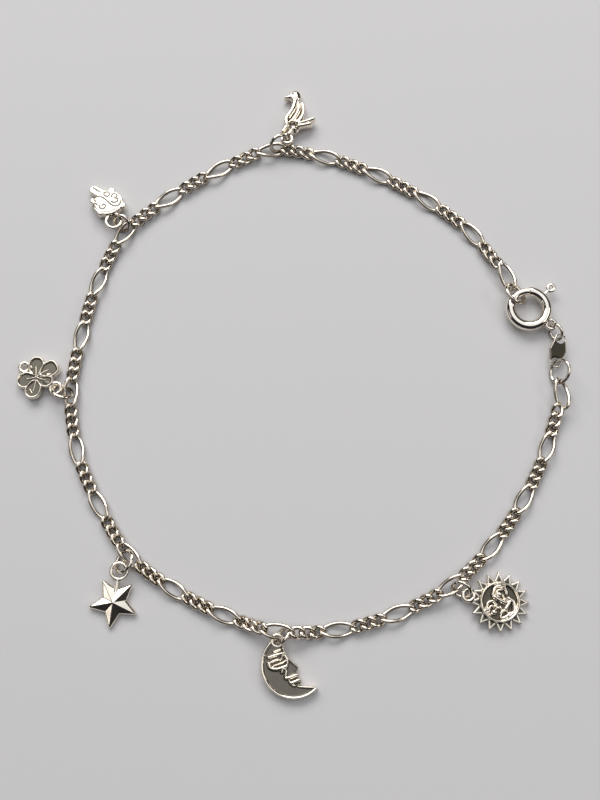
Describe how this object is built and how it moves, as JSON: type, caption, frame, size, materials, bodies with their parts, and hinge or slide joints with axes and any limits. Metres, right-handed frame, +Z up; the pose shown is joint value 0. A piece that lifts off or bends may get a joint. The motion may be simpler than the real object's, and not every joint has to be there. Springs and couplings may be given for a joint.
{
  "type": "charm bracelet",
  "caption": "Closed silver figaro-chain bracelet lying in a loop, with cast charms on jump rings, a plain bare tag and a spring ring clasp.",
  "frame": {"origin": "middle of the bottom of the box that holds the bracelet, on the surface it lies on", "axes": "+Z up from the surface, +X to the right and +Y away as the picture shows it from above"},
  "size_m": [0.0644, 0.0734, 0.0026],
  "materials": {
    "chain_silver": "polished silver wire",
    "ring_silver": "polished silver wire",
    "charm_silver": "cast silver with darkened recesses and polished edges",
    "clasp_silver": "polished silver",
    "tag_silver": "polished silver plate, bare"
  },
  "bodies": {
    "bracelet": {"chain_run_1": "chain_silver", "chain_run_2": "chain_silver", "chain_run_3": "chain_silver", "chain_run_4": "chain_silver", "chain_run_5": "chain_silver", "chain_run_6": "chain_silver", "chain_run_7": "chain_silver", "end_link_a": "chain_silver", "end_link_b": "chain_silver", "link_bird": "chain_silver", "link_turtle": "chain_silver", "link_flower": "chain_silver", "link_star": "chain_silver", "link_moon": "chain_silver", "link_sun": "chain_silver", "ring_bird": "ring_silver", "ring_turtle": "ring_silver", "ring_flower": "ring_silver", "ring_star": "ring_silver", "ring_moon": "ring_silver", "ring_sun": "ring_silver", "clasp_ring": "ring_silver", "tag_ring": "ring_silver", "end_ring": "ring_silver", "charm_bird": "charm_silver", "charm_turtle": "charm_silver", "charm_flower": "charm_silver", "charm_star": "charm_silver", "charm_moon": "charm_silver", "charm_sun": "charm_silver", "spring_ring": "clasp_silver", "tag": "tag_silver"},
    "bolt": {"bolt": "clasp_silver"}
  },
  "joints": [
    {"name": "bolt_slide", "type": "hinge", "parent": "bracelet", "child": "bolt", "pos_m": [0.02796, 0.00806, 0.00106], "axis": [0, 0, -1], "range_deg": [0, 56], "stiffness_Nm_per_rad": 0.002}
  ]
}
